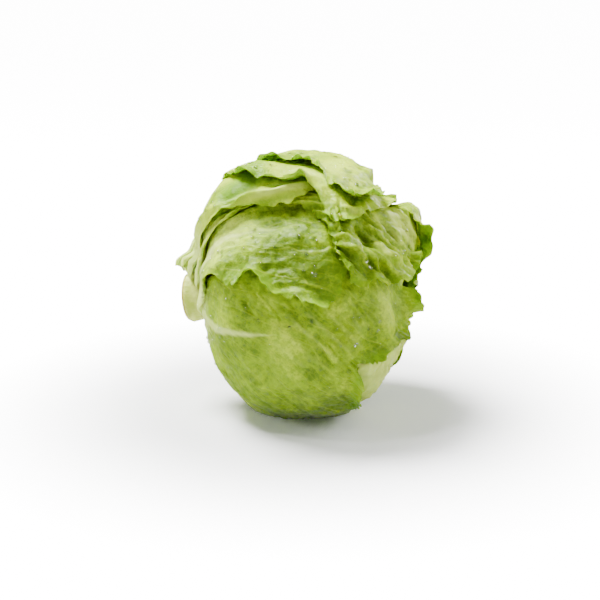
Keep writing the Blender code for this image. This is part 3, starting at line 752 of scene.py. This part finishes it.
def leaf_grid(leaf, rank, cells):
    """The middle of the leaf's blade in fine detail, half its thickness as a step outwards, and
    the values that its material reads."""
    share, angle = disc_grid(cells)
    bearing = even_bearing(leaf, angle)
    edge = outline(leaf, bearing)
    inward = (1 - share) * edge * MEAN_RADIUS
    shift, rise, curled, frilly = margin_form(leaf, rank, edge, bearing, inward)
    reach = share * edge + shift / MEAN_RADIUS
    directions = direction_at(leaf, reach, bearing)

    flat = flattening(directions)
    radius = stack(directions, rank) + LAYER_GAP + folds(leaf, reach, bearing)
    radius = radius + thickness(leaf, reach, bearing) / 2
    middle = directions * (radius * flat + rise + form_marks(directions))[..., None]
    along, across = from_foot(leaf, reach, bearing)
    fan = np.arctan2(across, along + FAN_BEFORE_FOOT) + leaf.get("slope", 0) * along
    height = HEAD_CENTRE[2] + (directions @ -DOWN) * radius
    relief = skin_relief(leaf, rank, directions, along, fan, height)
    middle = middle + grid_normals(middle, directions) * relief[..., None]

    curled = smoothstep(0, CURLED_ANGLE, curled)[..., None]
    way = curled * grid_normals(middle, directions) + (1 - curled) * directions
    way /= np.linalg.norm(way, axis=-1, keepdims=True)
    thick = fine_thickness(leaf, reach, bearing, inward)
    # hollow is read by the material as painted shade where the relief sinks.
    values = material_values(
        middle, fan, along, across, rank, inward=inward,
        margin=np.exp(-inward / LIME_BAND) * frilly, hollow=np.clip(-relief / HOLLOW_SHADE_SCALE, -1, 1))
    return middle, way * (thick * flat / 2)[..., None], values


def grid_faces(cells, back):
    """Faces of a closed blade: its outer face, its inner face and its rim."""
    index = np.arange((cells + 1) ** 2).reshape(cells + 1, cells + 1)
    a, b = index[:-1, :-1].ravel(), index[1:, :-1].ravel()
    c, d = index[1:, 1:].ravel(), index[:-1, 1:].ravel()
    outer = np.stack([a, b, c, d], -1)
    under = outer[:, ::-1] + back
    loop = np.concatenate([index[:-1, 0], index[-1, :-1], index[:0:-1, -1], index[0, :0:-1]])
    after = np.roll(loop, -1)
    rim = np.stack([after, loop, loop + back, after + back], -1)
    return np.concatenate([outer, under, rim])


def mesh_of(name, points, faces, values=None):
    """A mesh from arrays, pressed flat onto the floor, with values for its material."""
    points = points + np.array(HEAD_CENTRE)
    points[points[:, 2] < FLAT_BAND, 2] = 0.0
    mesh = bpy.data.meshes.new(name)
    mesh.from_pydata(points.tolist(), [], faces.tolist())
    for key, value in (values or {}).items():
        kind = "FLOAT_VECTOR" if value.ndim == 2 else "FLOAT"
        layer = mesh.attributes.new(key, kind, "POINT")
        field = "vector" if value.ndim == 2 else "value"
        layer.data.foreach_set(field, value.astype(np.float32).ravel())
    mesh.validate()
    mesh.shade_smooth()
    return mesh


def faces_inward(points, faces):
    corners = points[faces]
    facing = np.cross(corners[:, 1] - corners[:, 0], corners[:, 2] - corners[:, 0])
    return (facing * corners.mean(1)).sum() < 0


def add_object(mesh, finish):
    mesh.materials.append(finish)
    made = bpy.data.objects.new(mesh.name, mesh)
    bpy.context.scene.collection.objects.link(made)
    return made


def heart_flow(directions):
    """Leaf coordinates on the heart, as if one big leaf wrapped it, and how crinkled it is."""
    along, across = from_foot(HEART_LEAF, *reach_and_bearing(HEART_LEAF, directions))
    fan = np.arctan2(across, along + FAN_BEFORE_FOOT)
    crinkle = np.abs(waves(directions * MEAN_RADIUS, HEART_CRINKLE_SIZE, 401))
    return along, across, fan, crinkle


def heart_values(points):
    directions = points / np.linalg.norm(points, axis=-1, keepdims=True)
    along, across, fan, crinkle = heart_flow(directions)
    # The crinkle's dents go to the material as painted shade (hollow).
    return material_values(points, fan, along, across, -1, margin=np.zeros_like(fan),
                           hollow=np.clip(crinkle, 0, 1))


def heart_rings():
    """Rings of points from the heart's far end to the rim of the stem's pocket and its floor."""
    pocket = math.radians(STEM_HALF_ANGLE_DEG) + POCKET_SLACK
    angle = np.linspace(math.pi, pocket, HEART_RINGS + 1)[1:, None]
    turn = np.arange(HEART_SEGMENTS)[None] * 2 * math.pi / HEART_SEGMENTS
    around = np.cos(turn)[..., None] * UP + np.sin(turn)[..., None] * FRONT
    directions = np.cos(angle)[..., None] * STEM + np.sin(angle)[..., None] * around
    fan, crinkle = heart_flow(directions)[2:]
    fold = 0.5 + 0.5 * np.cos(HEART_FOLDS * fan + 2 * waves(directions, 0.5, 403))
    radius = heart_radius(directions) - HEART_SHRINK + form_marks(directions)
    radius = radius * flattening(directions) - HEART_CRINKLE * crinkle - HEART_FOLD * fold
    floor = directions[-1:] * (STEM_INNER - POCKET_CLEARANCE)
    return np.concatenate([directions * radius[..., None], floor])


def make_heart():
    """The dense heart with its crinkled inner leaves, closed round the pocket of the stem."""
    rings = heart_rings()
    tip = -STEM * (heart_radius(-STEM) - HEART_SHRINK)
    points = np.concatenate([rings.reshape(-1, 3), [tip, rings[-1].mean(0)]])
    index = np.arange(rings.shape[0] * HEART_SEGMENTS).reshape(-1, HEART_SEGMENTS)
    beside = np.roll(index, -1, axis=1)
    sides = np.stack([index[:-1], index[1:], beside[1:], beside[:-1]], -1).reshape(-1, 4)
    first, last = np.full(HEART_SEGMENTS, index.size), np.full(HEART_SEGMENTS, index.size + 1)
    cap = np.stack([first, index[0], beside[0]], -1)
    end = np.stack([last, beside[-1], index[-1]], -1)
    triangles = np.concatenate([sides[:, [0, 1, 2]], sides[:, [0, 2, 3]], cap, end])
    if faces_inward(points, sides):
        triangles = triangles[:, ::-1]
    mesh = mesh_of("fine_heart", points, triangles, heart_values(points))
    made = add_object(mesh, leaf_material(HEART_LEAF))
    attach(made, "root")
    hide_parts("heart")


def drop_spots(middle, half, rank, inward, random):
    """Places on the leaf's bare outer face and the ways they face, a fair share of all drops."""
    outer = middle + half
    directions = middle / np.linalg.norm(middle, axis=-1, keepdims=True)
    normals = grid_normals(outer, directions)
    bare = freedom(rank, directions, DROP_FADE_DEG) > DROP_BARE
    bare = bare & (inward > DROP_CLEAR) & (outer[..., 2] + HEAD_CENTRE[2] > DROP_LOWEST)
    bare = bare & ((normals * directions).sum(-1) > DROP_FACING)
    places, ways = outer[bare], normals[bare]
    area = np.linalg.norm(np.cross(np.gradient(outer, axis=0), np.gradient(outer, axis=1)), axis=-1)
    area = area[bare]
    count = int(DROPS * area.sum() / (4 * math.pi * MEAN_RADIUS**2))
    if count == 0:
        return places[:0], ways[:0]
    chosen = random.choice(len(places), count, replace=False, p=area / area.sum())
    return places[chosen], ways[chosen]


def drop_dome():
    """The points of a dome of radius 1 and the triangles between them."""
    level = np.linspace(DROP_SKIRT, DROP_CREST, DROP_RINGS)
    turn = np.arange(DROP_SIDES) * 2 * math.pi / DROP_SIDES
    ring = np.stack([np.cos(turn), np.sin(turn), np.zeros(DROP_SIDES)], -1)
    rings = [ring * math.sqrt(1 - h * h) + np.array((0, 0, h)) for h in level]
    dome = np.concatenate(rings + [np.array([[0, 0, 1.0], [0, 0, level[0]]])])
    index = np.arange(DROP_RINGS * DROP_SIDES).reshape(DROP_RINGS, DROP_SIDES)
    beside = np.roll(index, -1, axis=1)
    sides = np.concatenate([
        np.stack([index[:-1], beside[:-1], beside[1:]], -1).reshape(-1, 3),
        np.stack([index[:-1], beside[1:], index[1:]], -1).reshape(-1, 3),
        np.stack([index[-1], beside[-1], np.full(DROP_SIDES, index.size)], -1),
        np.stack([beside[0], index[0], np.full(DROP_SIDES, index.size + 1)], -1),
    ])
    return dome, sides


def make_drops(places, ways, random):
    """Small domes of water that sit on the outer leaves."""
    dome, sides = drop_dome()
    share = random.uniform(0, 1, len(places)) ** DROP_SMALLNESS
    radius = DROP_LEAST + (DROP_MOST - DROP_LEAST) * share
    aside = np.cross(ways, np.array((0.0, 0.0, 1.0)) + 0.01)
    aside /= np.linalg.norm(aside, axis=-1, keepdims=True)
    across = np.cross(ways, aside)
    frames = np.stack([aside, across, ways * DROP_FLATNESS], 1) * radius[:, None, None]
    points = np.einsum("vk,dkx->dvx", dome, frames) + places[:, None]
    faces = sides[None] + (np.arange(len(places)) * len(dome))[:, None, None]
    made = add_object(mesh_of("water_drops", points.reshape(-1, 3), faces.reshape(-1, 3)),
                      water_look())
    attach(made, "root")


def make_leaf(leaf, rank):
    cells = 2 * round(LEAF_CELLS * leaf.get("cells", 1) / 2)
    middle, half, values = leaf_grid(leaf, rank, cells)
    outer, inner = (middle + half).reshape(-1, 3), (middle - half).reshape(-1, 3)
    faces = grid_faces(cells, len(outer))
    if faces_inward(outer, faces[: cells * cells]):
        faces = faces[:, ::-1]
    both = {}
    for key, value in values.items():
        flat = value.reshape(len(outer), -1)
        flat = flat if value.ndim == 3 else flat[:, 0]
        both[key] = np.concatenate([flat, flat])
    both["inside"] = np.concatenate([np.zeros(len(outer)), np.ones(len(inner))])
    mesh = mesh_of("fine_" + leaf["name"], np.concatenate([outer, inner]), faces, both)
    made = add_object(mesh, leaf_material(leaf))
    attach(made, "root")
    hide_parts(leaf["name"])
    return middle, half, values["inward"]


class Nodes:
    """Short calls for building a material's nodes."""

    def __init__(self, name):
        self.material = bpy.data.materials.new(name)
        self.material.use_nodes = True
        self.tree = self.material.node_tree
        self.shader = self.tree.nodes["Principled BSDF"]

    def make(self, kind, inputs=(), **settings):
        made = self.tree.nodes.new("ShaderNode" + kind)
        for key, value in settings.items():
            setattr(made, key, value)
        for key, value in dict(inputs).items():
            self.put(made.inputs[key], value)
        return made

    def put(self, socket, value):
        if isinstance(value, bpy.types.NodeSocket):
            self.tree.links.new(value, socket)
        else:
            socket.default_value = value

    def read(self, name, vector=False):
        made = self.make("Attribute", attribute_name=name)
        return made.outputs["Vector" if vector else "Fac"]

    def math(self, operation, first, second=0.0, clamp=False):
        made = self.make("Math", {0: first, 1: second}, operation=operation, use_clamp=clamp)
        return made.outputs[0]

    def add(self, first, *others):
        for other in others:
            first = self.math("ADD", first, other)
        return first

    def less(self, first, second):
        return self.math("SUBTRACT", first, second)

    def times(self, first, second):
        return self.math("MULTIPLY", first, second)

    def vector(self, operation, *inputs):
        made = self.make("VectorMath", dict(enumerate(inputs)), operation=operation)
        return made.outputs["Value" if operation in ("LENGTH", "DOT_PRODUCT") else "Vector"]

    def steps(self, value, low, high, to_low=0.0, to_high=1.0):
        made = self.make("MapRange", {0: value, 1: low, 2: high, 3: to_low, 4: to_high},
                         interpolation_type="SMOOTHSTEP")
        return made.outputs[0]

    def about(self, value, low, high, size):
        """Stretches a value so that it runs from half of size below 0 to half of it above."""
        return self.steps(value, low, high, -size / 2, size / 2)

    def noise(self, vector, scale, detail=3.0, roughness=0.5, output="Fac"):
        made = self.make("TexNoise", {"Vector": vector, "Scale": scale, "Detail": detail,
                                      "Roughness": roughness})
        return made.outputs[output]

    def mix(self, share, first, second):
        made = self.make("Mix", {0: share, 6: first, 7: second}, data_type="RGBA")
        return made.outputs[2]

    def bump(self, height, strength):
        made = self.make("Bump", {"Height": height, "Distance": 1.0, "Strength": strength})
        return made.outputs["Normal"]

    def shade(self, inputs):
        for key, value in inputs.items():
            self.put(self.shader.inputs[key], value)
        return self.material


def vein_lines(n, fan, warp, count, width):
    """Lines that fan out from the leaf's foot, about count to a radian: 1 on a line."""
    angle = n.make("SeparateXYZ", {0: fan}).outputs[0]
    shifted = n.add(n.times(angle, count), n.times(warp, 1.6))
    off = n.math("ABSOLUTE", n.less(n.math("FRACT", shifted), 0.5))
    return n.steps(off, 0.0, width, 1.0, 0.0)


def leaf_textures(n):
    """The patterns that a leaf's colour and its relief share."""
    place = n.make("TexCoord").outputs["Object"]
    fan = n.read("fan", vector=True)
    shift = n.noise(place, 120.0, 4.0, output="Color")
    warped = n.vector("ADD", place, n.vector("MULTIPLY", shift, (0.012, 0.012, 0.012)))
    net = n.make("TexVoronoi", {"Vector": warped, "Scale": 190.0}, feature="DISTANCE_TO_EDGE")
    return SimpleNamespace(
        clouds=n.noise(place, 34.0, 3.0),
        mottle=n.noise(place, 150.0, 5.0, 0.65),
        grain=n.noise(place, 420.0, 3.0, 0.6),
        speckle=n.noise(place, 1100.0, 3.0, 0.7),
        gloss=n.noise(place, 260.0, 3.0),
        streaks=n.noise(n.vector("MULTIPLY", fan, (24.0, 2.2, 9.0)), 1.0, 4.0, 0.6),
        fine_streaks=n.noise(n.vector("MULTIPLY", fan, (110.0, 9.0, 9.0)), 1.0, 4.0, 0.65),
        main_veins=vein_lines(n, fan, n.noise(place, 22.0, 3.0), 6.5, 0.050),
        side_veins=vein_lines(n, fan, n.noise(place, 45.0, 3.0), 17.0, 0.09),
        net=net.outputs["Distance"],
    )


def leaf_green(n, t, leaf):
    """How deep the green is at each place, about 0 to 1: the leaf's own tone, painted shade where
    the relief sinks and under some strokes, and less green under the pale strokes.
    """
    green = n.add(
        n.about(t.clouds, 0.32, 0.68, 0.55), leaf["green"], n.about(t.mottle, 0.35, 0.65, 0.34),
        n.about(t.grain, 0.35, 0.65, 0.26), n.about(t.speckle, 0.35, 0.65, 0.24),
        n.about(t.streaks, 0.3, 0.7, 0.16), n.times(n.read("hollow"), 0.18), n.read("greener_and_painted_shade"))
    return n.less(green, n.read("paler_and_painted_light"))


def leaf_white(n, t, leaf, lime):
    """White flesh near the leaf's foot and along its rib, white too under the pale strokes, which
    are partly painted light, but not where lime.
    """
    along, uneven = n.read("along"), n.less(t.streaks, 0.5)
    reach = n.add(along, n.times(uneven, 0.9))
    white = n.steps(reach, leaf["white"] * 0.2, leaf["white"], 1.0, 0.0)
    width = n.times(n.less(RIB_CREST_LENGTH, along), 0.085)
    beside = n.less(n.math("ABSOLUTE", n.read("across")), width)
    beside = n.add(beside, n.times(uneven, 0.05))
    white = n.math("MAXIMUM", white, n.steps(beside, -0.035, 0.010, 0.85, 0.0))
    # Painted light in part: the pale strokes whiten the leaf as well.
    white = n.math("MAXIMUM", white, n.times(n.read("paler_and_painted_light"), 0.55))
    return n.math("SUBTRACT", white, n.times(lime, 0.8), clamp=True)


def leaf_colour(n, t, leaf):
    green = leaf_green(n, t, leaf)
    colour = n.mix(n.steps(green, -0.1, 0.6), PALE, MIDDLE)
    colour = n.mix(n.steps(green, 0.55, 1.15), colour, DEEP)
    veins = (
        (n.steps(t.net, 0.0, 0.08, 1.0, 0.0), 0.14), (t.side_veins, 0.16), (t.main_veins, 0.28),
        (n.steps(t.fine_streaks, 0.5, 0.72), 0.10),
    )
    for lines, share in veins:
        colour = n.mix(n.times(lines, share), colour, VEIN)
    lime = n.times(n.read("margin"), n.steps(t.mottle, 0.3, 0.6, 0.45, 1.0))
    lime = n.math("ADD", n.times(lime, 0.75), n.read("limer_and_painted_shade"), clamp=True)
    colour = n.mix(n.times(lime, 0.85), colour, LIME)
    # Painted shade: lime strokes past 0.9 darken to the shaded lime.
    colour = n.mix(n.steps(n.read("limer_and_painted_shade"), 0.9, 1.5, 0.0, 0.85), colour, LIME_PAINTED_SHADE)
    return n.mix(n.times(leaf_white(n, t, leaf, lime), 0.9), colour, WHITE_RIB)


def leaf_material(leaf):
    """Soft waxy leaf: skin relief under a thin wet coat that has a relief of its own."""
    n = Nodes("leaf_look_" + leaf["name"])
    t = leaf_textures(n)
    skin = n.add(n.times(t.mottle, 0.0014), n.times(t.net, 0.0008), n.times(t.grain, 0.0009),
                 n.times(t.fine_streaks, 0.0005), n.times(t.main_veins, 0.00035),
                 n.times(t.side_veins, 0.00012), n.times(t.speckle, 0.00016))
    wet = n.add(n.times(t.mottle, 0.0016), n.times(t.grain, 0.0014), n.times(t.speckle, 0.0004))
    return n.shade({
        "Base Color": leaf_colour(n, t, leaf),
        "Roughness": n.steps(t.gloss, 0.3, 0.7, 0.28, 0.46),
        "Subsurface Weight": 0.30,
        "Subsurface Radius": (0.8, 1.0, 0.15),
        "Subsurface Scale": 0.0026,
        "Specular IOR Level": 0.10,
        "Coat Weight": 0.11,
        "Coat Roughness": 0.09,
        "Normal": n.bump(skin, 0.6),
        "Coat Normal": n.bump(wet, 0.8),
    })


def water_look():
    return Nodes("water_look").shade({
        "Base Color": (0.97, 1.0, 0.95, 1),
        "Roughness": 0.02,
        "IOR": 1.42,
        "Transmission Weight": 1.0,
    })


def stem_look(stem):
    """Pale flesh whose cut face has a paler pith, a broken brown ring and a rusty rim."""
    n = Nodes("stem_look")
    place = n.make("TexCoord").outputs["Object"]
    to_local = stem.matrix_world.inverted()
    axis = (to_local.to_3x3() @ Vector(STEM)).normalized()
    off = n.vector("SUBTRACT", place, to_local @ Vector(HEAD_CENTRE))
    away = n.vector("LENGTH", n.vector("CROSS_PRODUCT", off, axis))
    face = n.steps(n.vector("DOT_PRODUCT", off, axis), STEM_FACE - 0.0020, STEM_FACE - 0.0004)

    clouds = n.noise(place, 130.0, 4.0, 0.6)
    grain = n.noise(place, 900.0, 3.0)
    bent = n.add(away, n.times(n.less(clouds, 0.5), 0.004))
    ring = n.steps(n.math("ABSOLUTE", n.less(bent, STEM_RING)), 0.0, 0.0022, 1.0, 0.0)
    ring = n.times(ring, n.steps(clouds, 0.35, 0.6, 0.25, 0.9))
    rim = n.steps(bent, STEM_RING + 0.0025, STEM_RING + 0.0052, 0.0, 0.75)
    colour = n.mix(n.steps(clouds, 0.35, 0.65), STEM_PALE, STEM_FLESH)
    colour = n.mix(n.times(ring, face), colour, STEM_BROWN)
    colour = n.mix(n.times(rim, face), colour, STEM_BROWN)
    return n.shade({
        "Base Color": n.mix(n.about(grain, 0.35, 0.65, 0.3), colour, STEM_FLESH),
        "Roughness": n.steps(grain, 0.3, 0.7, 0.42, 0.58),
        "Specular IOR Level": 0.2,
        "Subsurface Weight": 0.15,
        "Subsurface Radius": (0.8, 1.0, 0.4),
        "Subsurface Scale": 0.002,
        "Normal": n.bump(n.add(n.times(grain, 0.0004), n.times(clouds, 0.0012)), 0.6),
    })


def add_lamp(name, place, size, power):
    light = bpy.data.lights.new(name, "AREA")
    light.shape = "DISK"
    light.size = size
    light.energy = power
    made = bpy.data.objects.new(name, light)
    made.location = place
    way = Vector(HEAD_CENTRE) - made.location
    made.rotation_euler = way.to_track_quat("-Z", "Y").to_euler()
    bpy.context.scene.collection.objects.link(made)


def add_stage(name, points, faces, finish):
    mesh = bpy.data.meshes.new(name)
    mesh.from_pydata(points, [], faces)
    made = add_object(mesh, finish)
    return made


def seen_only(made):
    """Keeps a bright backdrop from lighting the head."""
    for ray in ("diffuse", "glossy", "transmission", "shadow"):
        setattr(made, "visible_" + ray, False)


def floor_look(name, white, glow):
    """Pale floor; glow is how bright it shines far from the head."""
    n = Nodes(name)
    inputs = {"Base Color": (white, white, white, 1), "Roughness": 0.6}
    if glow:
        away = n.vector("LENGTH", n.make("TexCoord").outputs["Object"])
        inputs["Emission Color"] = (1, 1, 1, 1)
        inputs["Emission Strength"] = n.steps(away, GLOW_FROM, GLOW_TO, 0.0, glow)
    return n.shade(inputs)


def add_floor():
    """One floor that is seen, with its soft shadow, and one under it that lights the head."""
    half = FLOOR_HALF
    corners = [(-half, -half), (half, -half), (half, half), (-half, half)]
    face = [(0, 1, 2, 3)]
    seen = add_stage("floor", [(x, y, 0.0) for x, y in corners], face,
                     floor_look("floor_look", FLOOR_WHITE, GLOW))
    seen_only(seen)
    under = add_stage("floor_below", [(x, y, -FLOOR_BELOW_DEPTH) for x, y in corners], face,
                      floor_look("floor_below_look", FLOOR_BELOW_WHITE, 0))
    under.visible_camera = False
    under.visible_glossy = False


def add_backdrop():
    """A bright wall far round the head, seen above the floor's edge in low views."""
    turn = [2 * math.pi * i / WALL_SIDES for i in range(WALL_SIDES)]
    points = [(WALL_RADIUS * math.cos(a), WALL_RADIUS * math.sin(a), z)
              for z in (-0.001, WALL_HEIGHT) for a in turn]
    faces = [(i, (i + 1) % WALL_SIDES, (i + 1) % WALL_SIDES + WALL_SIDES, i + WALL_SIDES)
             for i in range(WALL_SIDES)]
    finish = Nodes("wall_look").shade({
        "Base Color": (0, 0, 0, 1),
        "Specular IOR Level": 0.0,
        "Emission Color": (1, 1, 1, 1),
        "Emission Strength": GLOW,
    })
    seen_only(add_stage("wall", points, faces, finish))


def add_studio():
    world = bpy.data.worlds.new("studio")
    world.use_nodes = True
    background = world.node_tree.nodes["Background"]
    background.inputs["Color"].default_value = (1, 1, 1, 1)
    background.inputs["Strength"].default_value = WORLD_STRENGTH
    bpy.context.scene.world = world
    for name, (place, size, power) in LAMPS.items():
        add_lamp(name, place, size, power)
    add_floor()
    add_backdrop()


def add_camera():
    way, up, right = Vector(CAMERA_WAY), Vector(CAMERA_UP), Vector((1, 0, 0))
    distance = FRAME_PIXELS * PIXEL * LENS_MM / SENSOR_MM
    aside = (CENTRE_PIXEL[0] - FRAME_PIXELS / 2) * PIXEL
    above = (FRAME_PIXELS / 2 - CENTRE_PIXEL[1]) * PIXEL
    camera = bpy.data.cameras.new("camera")
    camera.lens = LENS_MM
    camera.sensor_width = SENSOR_MM
    made = bpy.data.objects.new("camera", camera)
    bpy.context.scene.collection.objects.link(made)
    made.location = Vector(HEAD_CENTRE) + way * distance - right * aside - up * above
    made.rotation_euler = Matrix((right, up, way)).transposed().to_euler()
    bpy.context.scene.camera = made


def main():
    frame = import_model()
    add_camera()
    add_studio()
    random = np.random.default_rng(501)
    spots = []
    for rank, leaf in enumerate(LEAVES):
        middle, half, inward = make_leaf(leaf, rank)
        spots.append(drop_spots(middle, half, rank, inward, random))
    make_drops(np.concatenate([s[0] for s in spots]), np.concatenate([s[1] for s in spots]), random)
    make_heart()
    stem = frame["nodes"]["stem"]
    stem.data.materials.clear()
    stem.data.materials.append(stem_look(stem))


main()
